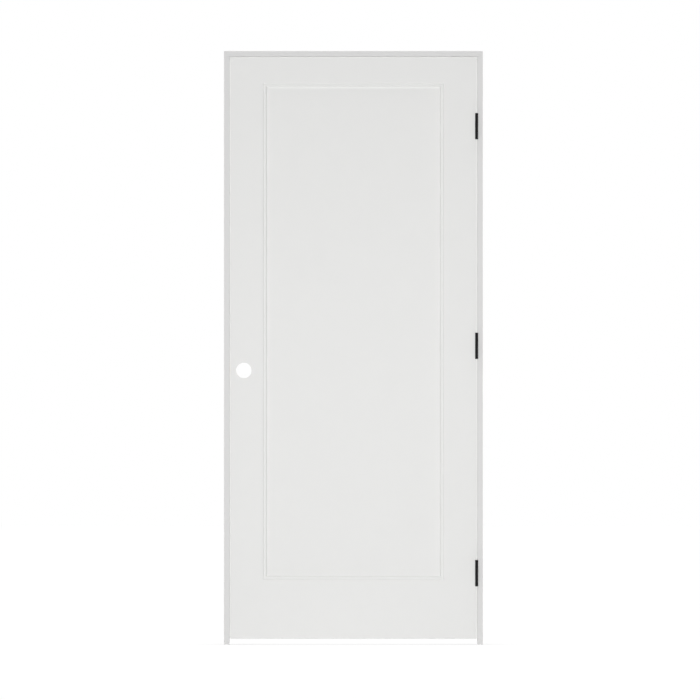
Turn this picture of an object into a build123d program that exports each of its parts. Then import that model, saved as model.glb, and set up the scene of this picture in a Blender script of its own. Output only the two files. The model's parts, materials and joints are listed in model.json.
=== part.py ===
from build123d import *
import os
from math import cos, radians, sin, tan

# Prehung interior door: a one-panel leaf hung on three butt hinges in a flat jamb frame.
# Millimetres, +Z up. The origin is at floor level on the back of the hinge jamb, midway through the wall.
# -Y is the pull side, where the hinge barrels are, and the opening runs from the origin towards -X.

# Leaf
leaf_width = 857.0
leaf_height = 2032.0
leaf_thickness = 35.0
leaf_arris = 1.0
lock_edge_bevel = 3.0
stile_face = 112.0
top_rail_face = 87.0
bottom_rail_face = 206.0

# Moulding on the inner edge of every stile and rail: bevelled step, fillet, ogee, land, drop to the panel
moulding_width = 17.0
moulding_step = 3.0
step_bevel = 4.0
fillet_width = 5.0
land_width = 1.0
land_depth = 7.7

# Panel and the groove that it sits in
panel_thickness = 12.7
groove_depth = 10.0
panel_play = 1.0

# Frame
margin = 5.0
undercut = 20.0
jamb_thickness = 19.0
jamb_depth = 116.0
jamb_arris = 1.0
head_rabbet = 9.5
stop_thickness = 11.0
stop_width = 32.0
stop_arris = 2.0

# Lock preparation, with its height above the foot of the leaf
bore_diameter = 54.0
bore_backset = 45.0
bore_height = 939.0
latch_diameter = 25.4
face_plate_width = 26.0
face_plate_height = 57.8
face_plate_depth = 3.0
face_plate_corner = 6.35
strike_width = 28.6
strike_height = 57.2
strike_depth = 2.0
strike_corner = 6.35
bolt_hole_diameter = 22.2

# Hinges: the middles of the outer two lie in from the leaf's ends, and the third sits a little above halfway
top_hinge_drop = 239.0
bottom_hinge_rise = 230.0
middle_hinge_lift = 13.5
hinge_height = 88.9
hinge_reach = 44.5
hinge_corner = 15.9
plate_thickness = 2.4
pin_proud = 15.9
pin_radius = 3.0
pin_clearance = 0.05
pin_end_gap = 2.0
knuckle_count = 5
knuckle_gap = 0.3
knuckle_relief = 0.6
button_height = 1.5
button_chamfer = 0.9
tip_plug_length = 9.0
mortise_clearance = 0.25
screw_hole_radius = 2.0
screw_head_radius = 4.4
screw_end_inset = 13.5
screw_outer_inset = 18.0
screw_middle_inset = 9.0

# Overrun of cutters past the faces that they leave through
overrun = 5.0

# Places that follow from the sizes
hinge_jamb_face = -jamb_thickness
leaf_hinge_edge = hinge_jamb_face - margin
leaf_lock_edge = leaf_hinge_edge - leaf_width
strike_jamb_face = leaf_lock_edge - margin
strike_jamb_back = strike_jamb_face - jamb_thickness
opening_width = hinge_jamb_face - strike_jamb_face
leaf_front = -jamb_depth / 2
leaf_middle = leaf_front + leaf_thickness / 2
leaf_back = leaf_front + leaf_thickness
leaf_foot = undercut
leaf_top = leaf_foot + leaf_height
head_underside = leaf_top + margin
unit_height = head_underside + jamb_thickness
stop_middle = leaf_back + margin + stop_width / 2
bore_x = leaf_lock_edge + bore_backset
bore_z = leaf_foot + bore_height
pin_x = hinge_jamb_face - margin / 2
pin_y = leaf_front - pin_proud
pin_hole_radius = pin_radius + pin_clearance
barrel_radius = pin_hole_radius + plate_thickness
plate_offset = margin / 2
top_hinge_height = leaf_height - top_hinge_drop
hinge_heights = {
    "bottom": bottom_hinge_rise,
    "middle": (bottom_hinge_rise + top_hinge_height) / 2 + middle_hinge_lift,
    "top": top_hinge_height,
}


def block(x_span, y_span, z_span):
    """A box from its two limits along each axis."""
    sizes = [high - low for low, high in (x_span, y_span, z_span)]
    return Pos(x_span[0], y_span[0], z_span[0]) * Box(*sizes, align=(Align.MIN, Align.MIN, Align.MIN))


def upright(radius, low, high):
    """A cylinder on the local Z axis between two heights."""
    return Pos(0, 0, low) * Cylinder(radius, high - low, align=(Align.CENTER, Align.CENTER, Align.MIN))


# Boards of the frame

def board(plane, thickness, width, length, arris):
    """A board whose back lies on the plane's YZ face, with the two arrises of its open face eased."""
    section = Pos(thickness / 2, 0) * Rectangle(thickness, width)
    section = fillet(section.vertices().group_by(Axis.X)[-1], arris)
    return extrude(plane * section, amount=length)


def side_jamb(back_x, inward):
    """A side jamb from the floor to the top, rabbeted on its inner face for the end of the head jamb."""
    plane = Plane(origin=(back_x, 0, 0), x_dir=(inward, 0, 0), z_dir=(0, 0, 1))
    jamb = board(plane, jamb_thickness, jamb_depth, unit_height, jamb_arris)
    inner_face = back_x + inward * jamb_thickness
    rabbet_x = sorted((inner_face - inward * head_rabbet, inner_face + inward * overrun))
    reach = jamb_depth / 2 + overrun
    return jamb - block(rabbet_x, (-reach, reach), (head_underside, unit_height + overrun))


def hinge_jamb():
    """The jamb that carries the hinges, with a mortise for each plate."""
    jamb = side_jamb(0, -1)
    for height in hinge_heights.values():
        jamb -= hinge_place(height) * hinge_mortise()
    return jamb


def strike_jamb():
    """The jamb that takes the latch, with a recess for a strike plate and a bore for the bolt."""
    jamb = side_jamb(strike_jamb_back, 1)
    face = Plane(origin=(strike_jamb_face, leaf_middle, bore_z), x_dir=(0, 1, 0), z_dir=(1, 0, 0))
    plate = RectangleRounded(strike_width, strike_height, strike_corner)
    recess = extrude(face * plate, amount=-strike_depth)
    bolt_hole = extrude(face * Circle(bolt_hole_diameter / 2), amount=-(jamb_thickness + overrun))
    return jamb - recess - bolt_hole


def head_jamb():
    """The board across the top, with its ends in the side jambs' rabbets."""
    start = (strike_jamb_face - head_rabbet, 0, unit_height)
    plane = Plane(origin=start, x_dir=(0, 0, -1), z_dir=(1, 0, 0))
    return board(plane, jamb_thickness, jamb_depth, opening_width + 2 * head_rabbet, jamb_arris)


def head_stop():
    """The stop strip under the head jamb, from side jamb to side jamb."""
    plane = Plane(origin=(strike_jamb_face, stop_middle, head_underside), x_dir=(0, 0, -1), z_dir=(1, 0, 0))
    return board(plane, stop_thickness, stop_width, opening_width, stop_arris)


def side_stop(jamb_face, inward):
    """A stop strip on a side jamb, from the level of the leaf's foot up to the head stop."""
    plane = Plane(origin=(jamb_face, stop_middle, leaf_foot), x_dir=(inward, 0, 0), z_dir=(0, 0, 1))
    length = head_underside - stop_thickness - leaf_foot
    return board(plane, stop_thickness, stop_width, length, stop_arris)


# Members of the leaf

def moulding_cut(face):
    """The section that the moulding takes off one face: step, fillet, ogee, land and drop."""
    inner = face + moulding_width
    step_end = face + step_bevel
    ogee_start = step_end + fillet_width
    land_start = inner - land_width
    ogee_middle = ((ogee_start + land_start) / 2, (moulding_step + land_depth) / 2)
    return make_face(
        [
            Line((face, 0), (step_end, moulding_step)),
            Line((step_end, moulding_step), (ogee_start, moulding_step)),
            TangentArc((ogee_start, moulding_step), ogee_middle, tangent=(1, 0)),
            TangentArc((land_start, land_depth), ogee_middle, tangent=(-1, 0)),
            Line((land_start, land_depth), (inner, land_depth)),
            Line((inner, land_depth), (inner, 0)),
            Line((inner, 0), (face, 0)),
        ]
    )


def member_section(face, bevel, arris):
    """Section of a stile or rail: X from its outer edge to the panel, Y from its front face to its back."""
    inner = face + moulding_width
    back_edge = leaf_thickness * tan(radians(bevel))
    corners = [(0, 0), (inner, 0), (inner, leaf_thickness), (back_edge, leaf_thickness)]
    section = make_face(Polyline(*corners, close=True))
    if arris:
        section = fillet(section.vertices().sort_by(Axis.X)[:2], arris)
    front_cut = moulding_cut(face)
    mid_plane = Plane.XZ.offset(-leaf_thickness / 2)
    groove = Pos(inner - groove_depth / 2, leaf_thickness / 2) * Rectangle(groove_depth, panel_thickness)
    return section - front_cut - mirror(front_cut, about=mid_plane) - groove


def plain_hinge_stile(spare=0):
    """The uncut hinge stile, with some spare length past the leaf at each end."""
    plane = Plane(origin=(leaf_hinge_edge, leaf_front, leaf_top + spare), x_dir=(-1, 0, 0), z_dir=(0, 0, -1))
    return extrude(plane * member_section(stile_face, 0, leaf_arris), amount=leaf_height + 2 * spare)


def plain_lock_stile(spare=0):
    """The uncut lock stile, with some spare length past the leaf at each end."""
    plane = Plane(origin=(leaf_lock_edge, leaf_front, leaf_foot - spare), x_dir=(1, 0, 0), z_dir=(0, 0, 1))
    section = member_section(stile_face, lock_edge_bevel, leaf_arris)
    return extrude(plane * section, amount=leaf_height + 2 * spare)


def hinge_stile():
    """The stile on the hinge side, with a mortise in its edge for each plate."""
    stile = plain_hinge_stile()
    for height in hinge_heights.values():
        stile -= hinge_place(height) * mirror(hinge_mortise(), about=Plane.YZ)
    return stile


def lock_stile():
    """The stile on the lock side, bored for a lock and its latch, and recessed for the latch's face plate."""
    stile = plain_lock_stile()
    bore_plane = Plane(origin=(bore_x, leaf_front, bore_z), x_dir=(1, 0, 0), z_dir=(0, 1, 0))
    bore = extrude(bore_plane * Circle(bore_diameter / 2), amount=leaf_thickness)
    latch_plane = Plane(origin=(leaf_lock_edge, leaf_middle, bore_z), x_dir=(0, 1, 0), z_dir=(1, 0, 0))
    latch = extrude(latch_plane * Circle(latch_diameter / 2), amount=bore_backset)
    bevel = radians(lock_edge_bevel)
    edge_plane = Plane(
        origin=(leaf_lock_edge + leaf_thickness / 2 * tan(bevel), leaf_middle, bore_z),
        x_dir=(sin(bevel), cos(bevel), 0),
        z_dir=(-cos(bevel), sin(bevel), 0),
    )
    plate = RectangleRounded(face_plate_width, face_plate_height, face_plate_corner)
    recess = extrude(edge_plane * plate, amount=-face_plate_depth)
    return stile - bore - latch - recess


def coped_rail(plane, face):
    """A rail between the stiles, its ends cut to fit their moulding and tongued into their grooves."""
    length = leaf_width - 2 * stile_face + 2 * overrun
    blank = extrude(plane.offset(-overrun) * member_section(face, 0, 0), amount=length)
    return blank - plain_lock_stile(overrun) - plain_hinge_stile(overrun)


def top_rail():
    start = (leaf_lock_edge + stile_face, leaf_front, leaf_top)
    return coped_rail(Plane(origin=start, x_dir=(0, 0, -1), z_dir=(1, 0, 0)), top_rail_face)


def bottom_rail():
    start = (leaf_hinge_edge - stile_face, leaf_front, leaf_foot)
    return coped_rail(Plane(origin=start, x_dir=(0, 0, 1), z_dir=(-1, 0, 0)), bottom_rail_face)


def panel():
    """The flat panel, which reaches into the grooves all round with a little play."""
    reach = moulding_width - groove_depth + panel_play
    side = stile_face + reach
    return block(
        (leaf_lock_edge + side, leaf_hinge_edge - side),
        (leaf_middle - panel_thickness / 2, leaf_middle + panel_thickness / 2),
        (leaf_foot + bottom_rail_face + reach, leaf_top - top_rail_face - reach),
    )


# Hinges, each made about its own pin axis and middle height, with the jamb on the +X side

def hinge_place(height):
    return Pos(pin_x, pin_y, leaf_foot + height)


def plate_slab(near, far, height, corner):
    """A plate or mortise on the jamb side of the pin, with its two far corners rounded."""
    outline = Pos((near + far) / 2, 0) * Rectangle(far - near, height)
    outline = fillet(outline.vertices().group_by(Axis.X)[-1], corner)
    return extrude(Plane.YZ.offset(plate_offset) * outline, amount=plate_thickness)


def hinge_mortise():
    """The recess for a jamb plate, open at the front edge of the wood."""
    return plate_slab(
        pin_proud - overrun,
        hinge_reach + mortise_clearance,
        hinge_height + 2 * mortise_clearance,
        hinge_corner + mortise_clearance,
    )


def screw_hole():
    """A hole along +X, countersunk right through the plate from the mouth on its open face."""
    sink = Cone(
        screw_head_radius,
        screw_hole_radius,
        plate_thickness,
        align=(Align.CENTER, Align.CENTER, Align.MIN),
    )
    return Pos(plate_offset, 0, 0) * Rot(0, 90, 0) * sink


def knuckle_span(index):
    """Lowest and highest point of a knuckle, with half the running gap off each end that meets another."""
    pitch = hinge_height / knuckle_count
    low = -hinge_height / 2 + index * pitch
    low_gap = knuckle_gap / 2 if index > 0 else 0
    high_gap = knuckle_gap / 2 if index < knuckle_count - 1 else 0
    return low + low_gap, low + pitch - high_gap


def hinge_plate(first_knuckle):
    """A plate with every other knuckle, from the first one given, cut back round those between them."""
    plate = plate_slab(0, hinge_reach, hinge_height, hinge_corner)
    for index in range(knuckle_count):
        low, high = knuckle_span(index)
        if index % 2 == first_knuckle:
            plate += upright(barrel_radius, low, high)
        else:
            plate -= upright(barrel_radius + knuckle_relief, low - knuckle_gap, high + knuckle_gap)
    plate -= upright(pin_hole_radius, -hinge_height / 2, hinge_height / 2)
    outer_z = hinge_height / 2 - screw_end_inset
    screw_points = [
        (hinge_reach - screw_outer_inset, outer_z),
        (hinge_reach - screw_middle_inset, 0),
        (hinge_reach - screw_outer_inset, -outer_z),
    ]
    for y, z in screw_points:
        plate -= Pos(0, y, z) * screw_hole()
    return plate


def jamb_leaf():
    return hinge_plate(0)


def door_leaf():
    return mirror(hinge_plate(1), about=Plane.YZ)


def button(low):
    """A low round button of the barrel's diameter, with its top edge chamfered."""
    disc = upright(barrel_radius, low, low + button_height)
    return chamfer(disc.edges().group_by(Axis.Z)[-1], button_chamfer)


def hinge_pin():
    """The loose pin: a button head on the top knuckle and a shank that stops above the tip's plug."""
    top = hinge_height / 2
    shank_end = -top + tip_plug_length + pin_end_gap
    return upright(pin_radius, shank_end, top) + button(top)


def hinge_tip():
    """The button under the lowest knuckle, with a plug up into it."""
    foot = -hinge_height / 2
    return mirror(button(-foot), about=Plane.XY) + upright(pin_radius, foot, foot + tip_plug_length)


def all_parts():
    parts = {
        "hinge_jamb": hinge_jamb(),
        "strike_jamb": strike_jamb(),
        "head_jamb": head_jamb(),
        "hinge_side_stop": side_stop(hinge_jamb_face, -1),
        "strike_side_stop": side_stop(strike_jamb_face, 1),
        "head_stop": head_stop(),
        "hinge_stile": hinge_stile(),
        "lock_stile": lock_stile(),
        "top_rail": top_rail(),
        "bottom_rail": bottom_rail(),
        "panel": panel(),
    }
    hinge_pieces = {
        "jamb_leaf": jamb_leaf(),
        "door_leaf": door_leaf(),
        "pin": hinge_pin(),
        "tip": hinge_tip(),
    }
    for place, height in hinge_heights.items():
        for piece, shape in hinge_pieces.items():
            parts[f"{place}_hinge_{piece}"] = hinge_place(height) * shape
    return parts


os.makedirs("parts", exist_ok=True)
for name, shape in all_parts().items():
    shape.label = name
    export_step(shape, f"parts/{name}.step")
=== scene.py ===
import json
import math
import random

import bmesh
import bpy
from mathutils import Matrix, Vector


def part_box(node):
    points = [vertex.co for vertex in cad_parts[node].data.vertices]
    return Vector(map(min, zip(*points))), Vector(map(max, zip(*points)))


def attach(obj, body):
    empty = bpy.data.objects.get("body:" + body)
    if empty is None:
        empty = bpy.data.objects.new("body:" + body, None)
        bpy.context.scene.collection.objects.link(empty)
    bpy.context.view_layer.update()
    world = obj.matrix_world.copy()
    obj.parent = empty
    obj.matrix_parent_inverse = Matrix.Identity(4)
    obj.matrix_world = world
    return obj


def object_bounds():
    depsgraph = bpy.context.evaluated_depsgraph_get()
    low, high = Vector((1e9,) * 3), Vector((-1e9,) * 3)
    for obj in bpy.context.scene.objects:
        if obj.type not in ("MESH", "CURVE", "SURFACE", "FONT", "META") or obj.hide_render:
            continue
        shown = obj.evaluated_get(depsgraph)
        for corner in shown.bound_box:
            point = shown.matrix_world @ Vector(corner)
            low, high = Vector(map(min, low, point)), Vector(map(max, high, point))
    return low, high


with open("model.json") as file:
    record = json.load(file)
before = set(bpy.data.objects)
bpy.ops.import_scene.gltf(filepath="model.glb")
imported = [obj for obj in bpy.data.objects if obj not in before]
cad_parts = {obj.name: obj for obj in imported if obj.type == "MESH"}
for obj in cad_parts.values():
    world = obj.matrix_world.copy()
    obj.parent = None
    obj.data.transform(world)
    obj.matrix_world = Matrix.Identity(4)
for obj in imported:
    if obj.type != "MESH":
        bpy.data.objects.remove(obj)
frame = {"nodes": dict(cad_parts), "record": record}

# Looks of a prehung interior door: primed leaf and jambs, black hinges with their screws, a white studio.
# Metres, in the frame of the CAD part: -Y faces the camera, +Z is up, and the floor is at Z = 0.
# In the finishes below, a scale is that of a noise, a range is the stretch of the noise that is used,
# a tint multiplies a colour, and a share is how much of one colour goes over another.

CAD_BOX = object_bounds()
NODES = frame["nodes"]
MOUNTS = {mount["name"]: mount for mount in frame["record"]["mounts"]}
HINGE_PLACES = ("top", "middle", "bottom")
AXIS_X, AXIS_Y, AXIS_Z = range(3)

# Colours, linear
LEAF_WHITE = (0.80, 0.80, 0.79)
# The stops' white is their primer plus painted light: whiter than the leaf's, to lighten the stops in the
# shade of the narrow gaps round the leaf.
STOP_WHITE_PLUS_PAINTED_LIGHT = (0.87, 0.87, 0.86)
JAMB_WHITE = (0.71, 0.71, 0.71)
PINE = (0.62, 0.45, 0.27)
FIBREBOARD = (0.42, 0.28, 0.16)
HINGE_BLACK = (0.005, 0.005, 0.0054)
STUDIO_WHITE = (1, 1, 1, 1)

# Photograph: its size in pixels, the scale at the leaf's face and where the door's middle lies in it
PHOTO_PIXELS = 700
MM_PER_PIXEL = 3.497
DOOR_MIDDLE_PIXEL = (353.4, 347.85)
CAMERA_DISTANCE = 60.0
CAMERA_REACH = 400
SENSOR_MM = 36.0

# Sprayed primer: faint clouds, a few darker specks, and fine orange peel on fibreboard
CLOUD_SCALE = 5.0
CLOUD_RANGE = (0.3, 0.7)
CLOUD_TINTS = (0.985, 1.01)
SPECK_SCALE = 420.0
SPECK_RANGE = (0.62, 0.8)
SPECK_SHARES = (0, 0.25)
SPECK_TINT = 0.94
PEEL_SCALE = 700.0
PEEL_HEIGHT = 0.00003
PRIMER_ROUGHNESS = (0.58, 0.68)
PRIMER_SPECULAR = 0.3

# Bare fibreboard
FIBRE_SCALE = 900.0
FIBRE_RANGE = (0.35, 0.65)
FIBRE_TINTS = (0.8, 1.15)
FIBRE_ROUGHNESS = 0.9

# Jointed pine of the jambs: blocks of one length with interlocking fingers
BLOCK_LENGTH = 0.43
BLOCK_TINTS = (0.9, 1.12)
FINGER_PITCH = 0.008
FINGER_LENGTH = 0.012
JOINT_WIDTH = 0.0012
JOINT_SHARE = 0.7
JOINT_TINT = 0.4
JOINT_RELIEF = 0.6
RING_SCALE = 28.0
RING_RANGE = (0.42, 0.6)
RING_SHARES = (0, 0.6)
RING_TINT = 0.72
GRAIN_SCALE = 160.0
GRAIN_STRETCH = 0.03
GRAIN_RANGE = (0.35, 0.7)
GRAIN_RELIEF = 0.5
PINE_HEIGHT = 0.00012

# How much of the pine shows through the primer: everywhere, and more within a short reach of the back face
PINE_SHARE = 0.015
BACK_PINE_SHARES = (0.16, 0.4)
BACK_REACH = 0.0003

# Powder coating of the hinges
GRIT_SCALE = 1500.0
GRIT_RANGE = (0.4, 0.7)
GRIT_TINTS = (1.0, 1.6)
GRIT_HEIGHT = 0.00003
COATING_RANGE = (0.3, 0.7)
COATING_ROUGHNESS = (0.42, 0.56)
COATING_SPECULAR = 0.07

# Cuts made through the primer: half the width and height of each plate's recess, how far below a face
# bare wood starts, and how far below the outermost corner of the bevelled lock edge it does
FACE_PLATE_HALVES = (0.0131, 0.029)
STRIKE_HALVES = (0.0144, 0.0287)
BARE_EDGE = 0.0003
BARE_LOCK_EDGE = 0.0021

# Hinge screws, as in the CAD part's countersunk holes, with a bevelled rim
SCREW_HEAD_RADIUS = 0.0043
SCREW_STEM_RADIUS = 0.0019
SCREW_DEPTH = 0.0023
SCREW_RIM_WIDTH = 0.0003
SCREW_RIM_DEPTH = 0.0002
SCREW_END_INSET = 0.0135
SCREW_OUTER_INSET = 0.018
SCREW_MIDDLE_INSET = 0.009
SCREW_SIDES = 32
SCREW_TURN_SEED = 7

# Cross recess of a screw: half the length and half the width of its arms at the mouth and at the foot
RECESS_MOUTH = (0.0023, 0.0006)
RECESS_FOOT = (0.0011, 0.00045)
RECESS_DEPTH = 0.0013

# Floor: the grey that lights the part, the glow that the camera sees, and its shade near the part's feet
FLOOR_SIZE = 80
FLOOR_GREY = (0.5, 0.5, 0.5, 1)
FLOOR_GLOW = 1.34
FLOOR_GLOW_SHARE = 0.70
CONTACT_REACH = 0.25
CONTACT_SHADE = 0.72
CONTACT_SAMPLES = 8

# World: what it gives to the part, and what the camera sees
SKY_LEVEL = 0.01
SKY_SEEN_LEVEL = 1.0

# Distant lamps: name, where the light goes, its level and its angle across in degrees
SUNS = (
    ("front_lamp", (0, 1, 0.015), 0.645, 1),
    ("top_lamp", (0, 0.1, -1), 0.42, 50),
    ("floor_glow", (0, 0.35, 1), 0.34, 50),
    ("left_lamp", (1, 0.1, 0), 0.08, 30),
    ("back_lamp_right", (-0.77, -0.64, 0), 0.55, 15),
    ("back_lamp_left", (0.77, -0.64, 0), 0.55, 15),
)

# Soft box in front of the panel
SOFT_BOX_SIZE = 0.5
SOFT_BOX_Y = -1.7
SOFT_BOX_HEIGHT = 0.92
SOFT_BOX_TOWARDS = (0, 1, 0)
SOFT_BOX_LEVEL = 0.085
SOFT_BOX_DISTANCE = 1.65

# Sockets that the Mix node uses for colours
MIX_FACTOR = 0
MIX_FIRST = 6
MIX_SECOND = 7
MIX_RESULT = 2


# Node graph helpers

def feed(tree, socket, value):
    """Links a socket to another one, or sets its value."""
    if isinstance(value, bpy.types.NodeSocket):
        tree.links.new(value, socket)
    else:
        socket.default_value = value


def node(tree, kind, inputs=None, **settings):
    """Adds a node with these settings, and with a link or a value on each of these inputs."""
    made = tree.nodes.new(kind)
    for key, value in settings.items():
        setattr(made, key, value)
    for key, value in (inputs or {}).items():
        feed(tree, made.inputs[key], value)
    return made


def maths(tree, operation, *values):
    return node(tree, "ShaderNodeMath", dict(enumerate(values)), operation=operation).outputs[0]


def chain(tree, operation, values):
    """Joins several values by one operation."""
    total, *others = values
    for value in others:
        total = maths(tree, operation, total, value)
    return total


def shade(colour, tint):
    return tuple(channel * tint for channel in colour)


def opaque(colour):
    """Three channels with full alpha after them. A socket stays as it is."""
    return colour if isinstance(colour, bpy.types.NodeSocket) else (*colour, 1)


def mix_colour(tree, factor, first, second):
    inputs = {MIX_FACTOR: factor, MIX_FIRST: opaque(first), MIX_SECOND: opaque(second)}
    return node(tree, "ShaderNodeMix", inputs, data_type="RGBA").outputs[MIX_RESULT]


def mix_tints(tree, factor, colour, tints):
    """Mixes two tints of one colour."""
    return mix_colour(tree, factor, *(shade(colour, tint) for tint in tints))


def ramp(tree, value, source, target=(0, 1)):
    """Maps a value from one range to another, clamped."""
    inputs = {
        "Value": value,
        "From Min": source[0],
        "From Max": source[1],
        "To Min": target[0],
        "To Max": target[1],
    }
    return node(tree, "ShaderNodeMapRange", inputs).outputs[0]


def noise(tree, coords, scale, detail, stretch=None):
    """Noise over the coordinates, which may first be stretched along each axis."""
    if stretch:
        inputs = {0: coords, 1: stretch}
        coords = node(tree, "ShaderNodeVectorMath", inputs, operation="MULTIPLY").outputs[0]
    inputs = {"Vector": coords, "Scale": scale, "Detail": detail}
    return node(tree, "ShaderNodeTexNoise", inputs).outputs[0]


def split(tree, coords):
    return node(tree, "ShaderNodeSeparateXYZ", {"Vector": coords}).outputs


def new_material(name):
    """A material with a Principled shader, its tree and the rest-frame coordinates of the surface."""
    material = bpy.data.materials.new(name)
    material.use_nodes = True
    tree = material.node_tree
    coords = node(tree, "ShaderNodeTexCoord").outputs["Object"]
    return material, tree, coords


def finish_surface(tree, colour, roughness, specular, relief, height):
    """Sets up the Principled shader, with a relief of that height as its bump."""
    inputs = tree.nodes["Principled BSDF"].inputs
    bump = node(tree, "ShaderNodeBump", {"Height": relief, "Distance": height, "Strength": 1.0})
    feed(tree, inputs["Base Color"], colour)
    feed(tree, inputs["Roughness"], roughness)
    feed(tree, inputs["Specular IOR Level"], specular)
    feed(tree, inputs["Normal"], bump.outputs[0])


# Materials

def within(tree, coords, boxes):
    """1 where the surface lies in any of the boxes, each a lowest and a highest corner, and else 0."""
    place = split(tree, coords)
    masks = []
    for low, high in boxes:
        inside = []
        for axis, (start, end) in enumerate(zip(low, high)):
            inside.append(maths(tree, "COMPARE", place[axis], (start + end) / 2, (end - start) / 2))
        masks.append(chain(tree, "MULTIPLY", inside))
    return chain(tree, "MAXIMUM", masks)


def lock_cuts():
    """Boxes round the walls of the lock bore, and of the latch bore with the face plate's recess."""
    low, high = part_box("lock_stile")
    x, y, z = MOUNTS["lock_bore"]["pos_m"]
    radius = MOUNTS["lock_bore"]["dims"]["r_mm"] / 1000 + BARE_EDGE
    half_width, half_height = FACE_PLATE_HALVES
    bore_low = (x - radius, low.y + BARE_EDGE, z - radius)
    bore_high = (x + radius, high.y - BARE_EDGE, z + radius)
    latch_low = (low.x + BARE_LOCK_EDGE, y - half_width, z - half_height)
    latch_high = (x, y + half_width, z + half_height)
    return [(bore_low, bore_high), (latch_low, latch_high)]


def strike_cuts():
    """One box, round the walls of the bolt's hole in the jamb and of the strike plate's recess."""
    low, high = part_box("strike_jamb")
    y, z = MOUNTS["strike_bore"]["pos_m"][1:]
    half_width, half_height = STRIKE_HALVES
    strike_low = (low.x + BARE_EDGE, y - half_width, z - half_height)
    strike_high = (high.x - BARE_EDGE, y + half_width, z + half_height)
    return [(strike_low, strike_high)]


def sprayed_white(tree, coords, white):
    """Colour and roughness of a sprayed primer: faint clouds and a few darker specks."""
    clouds = noise(tree, coords, CLOUD_SCALE, detail=3)
    specks = noise(tree, coords, SPECK_SCALE, detail=2)
    tone = mix_tints(tree, ramp(tree, clouds, CLOUD_RANGE), white, CLOUD_TINTS)
    tone = mix_colour(tree, ramp(tree, specks, SPECK_RANGE, SPECK_SHARES), tone, shade(white, SPECK_TINT))
    return tone, ramp(tree, clouds, CLOUD_RANGE, PRIMER_ROUGHNESS)


def board_paint(name, white, cuts=()):
    """Smooth primer on fibreboard with fine orange peel, and bare board in the cuts made after it."""
    material, tree, coords = new_material(name)
    tone, rough = sprayed_white(tree, coords, white)
    if cuts:
        bare = within(tree, coords, cuts)
        fibres = noise(tree, coords, FIBRE_SCALE, detail=4)
        board = mix_tints(tree, ramp(tree, fibres, FIBRE_RANGE), FIBREBOARD, FIBRE_TINTS)
        tone = mix_colour(tree, bare, tone, board)
        rough = maths(tree, "MAXIMUM", rough, maths(tree, "MULTIPLY", bare, FIBRE_ROUGHNESS))
    peel = noise(tree, coords, PEEL_SCALE, detail=1)
    finish_surface(tree, tone, rough, PRIMER_SPECULAR, peel, PEEL_HEIGHT)
    return material


def jointed_pine(tree, coords, along, stretch):
    """Colour of pine blocks joined end to end by fingers, and a mask of the joints."""
    place = split(tree, coords)
    fingers = maths(tree, "PINGPONG", place[AXIS_Y], FINGER_PITCH / 2)
    slant = maths(tree, "MULTIPLY", fingers, FINGER_LENGTH / FINGER_PITCH * 2)
    block = maths(tree, "DIVIDE", maths(tree, "ADD", place[along], slant), BLOCK_LENGTH)
    number = maths(tree, "FLOOR", block)
    tint = node(tree, "ShaderNodeTexWhiteNoise", {"W": number}, noise_dimensions="1D").outputs[0]
    to_end = maths(tree, "PINGPONG", maths(tree, "FRACT", block), 0.5)
    joint = ramp(tree, to_end, (0, JOINT_WIDTH / BLOCK_LENGTH), (1, 0))
    rings = noise(tree, coords, RING_SCALE, detail=2, stretch=stretch)
    pine = mix_tints(tree, tint, PINE, BLOCK_TINTS)
    pine = mix_colour(tree, ramp(tree, rings, RING_RANGE, RING_SHARES), pine, shade(PINE, RING_TINT))
    pine = mix_colour(tree, maths(tree, "MULTIPLY", joint, JOINT_SHARE), pine, shade(PINE, JOINT_TINT))
    return pine, joint


def jamb_paint(name, along, back_axis, back_place, cuts=()):
    """Thin primer on jointed pine, which shows a little, more on the back, and is bare in the cuts."""
    material, tree, coords = new_material(name)
    primer, rough = sprayed_white(tree, coords, JAMB_WHITE)
    stretch = tuple(GRAIN_STRETCH if axis == along else 1.0 for axis in range(3))
    grain = noise(tree, coords, GRAIN_SCALE, detail=4, stretch=stretch)
    pine, joint = jointed_pine(tree, coords, along, stretch)
    back = maths(tree, "COMPARE", split(tree, coords)[back_axis], back_place, BACK_REACH)
    back_share = maths(tree, "MULTIPLY", back, ramp(tree, grain, GRAIN_RANGE, BACK_PINE_SHARES))
    tone = mix_colour(tree, maths(tree, "ADD", PINE_SHARE, back_share), primer, pine)
    if cuts:
        tone = mix_colour(tree, within(tree, coords, cuts), tone, pine)
    raised = maths(tree, "MULTIPLY", grain, GRAIN_RELIEF)
    sunk = maths(tree, "MULTIPLY", joint, JOINT_RELIEF)
    relief = maths(tree, "SUBTRACT", raised, sunk)
    finish_surface(tree, tone, rough, PRIMER_SPECULAR, relief, PINE_HEIGHT)
    return material


def hinge_coating():
    """Matte black powder coating on steel, with a fine grit."""
    material, tree, coords = new_material("hinge_black")
    grit = noise(tree, coords, GRIT_SCALE, detail=2)
    tone = mix_tints(tree, ramp(tree, grit, GRIT_RANGE), HINGE_BLACK, GRIT_TINTS)
    rough = ramp(tree, grit, COATING_RANGE, COATING_ROUGHNESS)
    finish_surface(tree, tone, rough, COATING_SPECULAR, grit, GRIT_HEIGHT)
    return material


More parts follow.
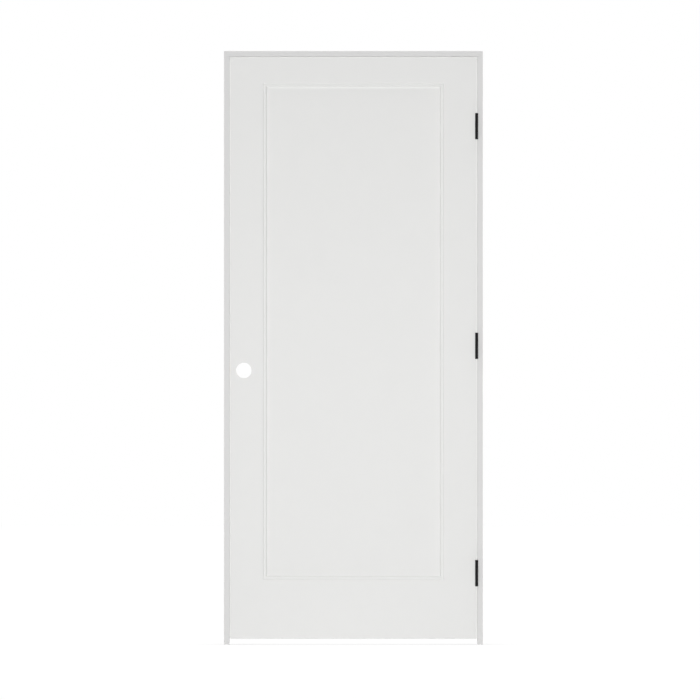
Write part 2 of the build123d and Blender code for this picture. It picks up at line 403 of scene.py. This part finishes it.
def dress():
    """Gives every CAD node its finish, and returns the hinges' finish for their screws."""
    leaf = board_paint("leaf_primer", LEAF_WHITE)
    # The stops get a whiter primer than the leaf: painted light, which lightens the shaded gaps between
    # the leaf and the jambs.
    stop = board_paint("stop_primer", STOP_WHITE_PLUS_PAINTED_LIGHT)
    black = hinge_coating()
    low, high = CAD_BOX
    special = {
        "lock_stile": board_paint("lock_stile_primer", LEAF_WHITE, lock_cuts()),
        "hinge_jamb": jamb_paint("hinge_jamb_primer", AXIS_Z, AXIS_X, high.x),
        "strike_jamb": jamb_paint("strike_jamb_primer", AXIS_Z, AXIS_X, low.x, strike_cuts()),
        "head_jamb": jamb_paint("head_jamb_primer", AXIS_X, AXIS_Z, high.z),
        "hinge_side_stop": stop,
        "strike_side_stop": stop,
        "head_stop": stop,
    }
    for name, part in NODES.items():
        part.data.materials.clear()
        part.data.materials.append(special.get(name) or (black if "_hinge_" in name else leaf))
    return black


# Hinge screws

def around(count):
    """Each step of a closed ring with the one after it."""
    return [(step, (step + 1) % count) for step in range(count)]


def cross_outline(reach, half_width, depth):
    """Corners of a cross, counter-clockwise, at a depth below the head's face."""
    quarter = [(reach, -half_width), (reach, half_width), (half_width, half_width)]
    corners = []
    for turn in range(4):
        angle = turn * math.pi / 2
        for x, y in quarter:
            corners.append((
                x * math.cos(angle) - y * math.sin(angle),
                x * math.sin(angle) + y * math.cos(angle),
                -depth,
            ))
    return corners


def screw_mesh():
    """A countersunk screw head about its own Z axis, its face at Z = 0, with a tapering cross recess."""
    shape = bmesh.new()
    ring = []
    for step in range(SCREW_SIDES):
        angle = 2 * math.pi * step / SCREW_SIDES
        ring.append((math.cos(angle), math.sin(angle)))
    levels = [
        (SCREW_HEAD_RADIUS - SCREW_RIM_WIDTH, 0.0),
        (SCREW_HEAD_RADIUS, -SCREW_RIM_DEPTH),
        (SCREW_STEM_RADIUS, -SCREW_DEPTH),
    ]
    rows = [[shape.verts.new((radius * x, radius * y, z)) for x, y in ring] for radius, z in levels]
    for upper, lower in zip(rows, rows[1:]):
        for step, after in around(SCREW_SIDES):
            shape.faces.new((upper[step], lower[step], lower[after], upper[after]))
    shape.faces.new(list(reversed(rows[-1])))
    mouth = [shape.verts.new(point) for point in cross_outline(*RECESS_MOUTH, 0.0)]
    foot = [shape.verts.new(point) for point in cross_outline(*RECESS_FOOT, RECESS_DEPTH)]
    for step, after in around(len(mouth)):
        shape.faces.new((mouth[step], mouth[after], foot[after], foot[step]))
    shape.faces.new(foot)
    rim = [shape.edges.get((rows[0][step], rows[0][after])) for step, after in around(SCREW_SIDES)]
    lip = [shape.edges.get((mouth[step], mouth[after])) for step, after in around(len(mouth))]
    bmesh.ops.triangle_fill(shape, edges=rim + lip, use_beauty=True)
    bmesh.ops.recalc_face_normals(shape, faces=shape.faces)
    mesh = bpy.data.meshes.new("hinge_screw")
    shape.to_mesh(mesh)
    shape.free()
    return mesh


def screw_spots(low, high):
    """Label, Y and Z of the three screws in a hinge plate whose box has these corners."""
    middle = (low.z + high.z) / 2
    spread = (high.z - low.z) / 2 - SCREW_END_INSET
    outer_y = high.y - SCREW_OUTER_INSET
    return (
        ("upper", outer_y, middle + spread),
        ("middle", high.y - SCREW_MIDDLE_INSET, middle),
        ("lower", outer_y, middle - spread),
    )


def hinge_screws(finish):
    """Three screws in each hinge plate, flush with its open face and turned at random."""
    mesh = screw_mesh()
    mesh.materials.append(finish)
    dice = random.Random(SCREW_TURN_SEED)
    sides = (
        ("jamb", "frame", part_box("hinge_jamb")[0].x, -1),
        ("door", "door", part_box("hinge_stile")[1].x, 1),
    )
    for hinge in HINGE_PLACES:
        for side, body, face_x, outward in sides:
            facing = Matrix.Rotation(outward * math.pi / 2, 4, "Y")
            low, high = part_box(f"{hinge}_hinge_{side}_leaf")
            for label, y, z in screw_spots(low, high):
                screw = bpy.data.objects.new(f"{hinge}_hinge_{side}_{label}_screw", mesh)
                turn = facing @ Matrix.Rotation(dice.uniform(0, math.pi), 4, "Z")
                screw.matrix_world = Matrix.Translation((face_x, y, z)) @ turn
                bpy.context.collection.objects.link(screw)
                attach(screw, body)


# Studio

def seen(tree):
    """1 for what the camera sees, also in metal or through glass, and 0 for what lights the part."""
    path = node(tree, "ShaderNodeLightPath").outputs
    rays = ("Is Camera Ray", "Is Glossy Ray", "Is Transmission Ray")
    return chain(tree, "MAXIMUM", [path[ray] for ray in rays])


def end_tree(tree, output, factor, first, second):
    """Ends a tree in a mix of two shaders."""
    both = node(tree, "ShaderNodeMixShader", {0: factor, 1: first.outputs[0], 2: second.outputs[0]})
    node(tree, output, {"Surface": both.outputs[0]})


def stage_floor():
    """A grey floor that looks white, with a soft shade at the part's feet. A lamp below shines through."""
    bpy.ops.mesh.primitive_plane_add(size=FLOOR_SIZE)
    floor = bpy.context.object
    floor.name = "floor"
    floor.visible_shadow = False
    material = bpy.data.materials.new("floor_white")
    material.use_nodes = True
    tree = material.node_tree
    tree.nodes.clear()
    grey = node(tree, "ShaderNodeBsdfDiffuse", {"Color": FLOOR_GREY})
    reach = {"Distance": CONTACT_REACH}
    openness = node(tree, "ShaderNodeAmbientOcclusion", reach, samples=CONTACT_SAMPLES).outputs["AO"]
    glow = ramp(tree, openness, (0, 1), (FLOOR_GLOW * CONTACT_SHADE, FLOOR_GLOW))
    white = node(tree, "ShaderNodeEmission", {"Color": STUDIO_WHITE, "Strength": glow})
    share = maths(tree, "MULTIPLY", seen(tree), FLOOR_GLOW_SHARE)
    end_tree(tree, "ShaderNodeOutputMaterial", share, grey, white)
    floor.data.materials.append(material)


def studio_world():
    """A white world to look at, which gives the part little light of its own."""
    world = bpy.data.worlds.new("studio")
    bpy.context.scene.world = world
    world.use_nodes = True
    tree = world.node_tree
    tree.nodes.clear()
    dim = node(tree, "ShaderNodeBackground", {"Color": STUDIO_WHITE, "Strength": SKY_LEVEL})
    white = node(tree, "ShaderNodeBackground", {"Color": STUDIO_WHITE, "Strength": SKY_SEEN_LEVEL})
    end_tree(tree, "ShaderNodeOutputWorld", seen(tree), dim, white)


def hang(lamp, towards):
    """Puts a lamp in the scene, shining in that direction."""
    holder = bpy.data.objects.new(lamp.name, lamp)
    holder.rotation_mode = "QUATERNION"
    holder.rotation_quaternion = Vector(towards).to_track_quat("-Z", "Y")
    bpy.context.collection.objects.link(holder)
    return holder


def sun(name, towards, level, angle):
    """A distant lamp. On a face square to it, level 1 renders a colour as written."""
    lamp = bpy.data.lights.new(name, "SUN")
    lamp.energy = level * math.pi
    lamp.angle = math.radians(angle)
    hang(lamp, towards)


def soft_box(name, place, towards, size, level, distance):
    """A square lamp, unseen by the camera, with that level on a face square to it at that distance."""
    lamp = bpy.data.lights.new(name, "AREA")
    lamp.size = size
    lamp.energy = level * math.pi * math.pi * distance ** 2
    holder = hang(lamp, towards)
    holder.location = place
    holder.visible_camera = False


def lamps():
    for settings in SUNS:
        sun(*settings)
    middle = (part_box("panel")[0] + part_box("panel")[1]) / 2
    place = (middle.x, SOFT_BOX_Y, SOFT_BOX_HEIGHT)
    soft_box("front_soft_box", place, SOFT_BOX_TOWARDS, SOFT_BOX_SIZE, SOFT_BOX_LEVEL, SOFT_BOX_DISTANCE)


def camera():
    """A camera far in front, square to the leaf, which frames the door as the photograph does."""
    low, high = CAD_BOX
    metres = MM_PER_PIXEL / 1000
    face_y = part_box("hinge_stile")[0].y
    middle_x = (low.x + high.x) / 2
    middle_z = (low.z + high.z) / 2
    data = bpy.data.cameras.new("camera")
    data.sensor_width = SENSOR_MM
    data.lens = SENSOR_MM * CAMERA_DISTANCE / (PHOTO_PIXELS * metres)
    data.clip_end = CAMERA_REACH
    holder = bpy.data.objects.new("camera", data)
    holder.location = (
        middle_x - (DOOR_MIDDLE_PIXEL[0] - PHOTO_PIXELS / 2) * metres,
        face_y - CAMERA_DISTANCE,
        middle_z + (DOOR_MIDDLE_PIXEL[1] - PHOTO_PIXELS / 2) * metres,
    )
    holder.rotation_euler = (math.radians(90), 0, 0)
    bpy.context.collection.objects.link(holder)
    bpy.context.scene.camera = holder


hinge_screws(dress())
stage_floor()
studio_world()
lamps()
camera()
bpy.context.scene.view_settings.view_transform = "Standard"
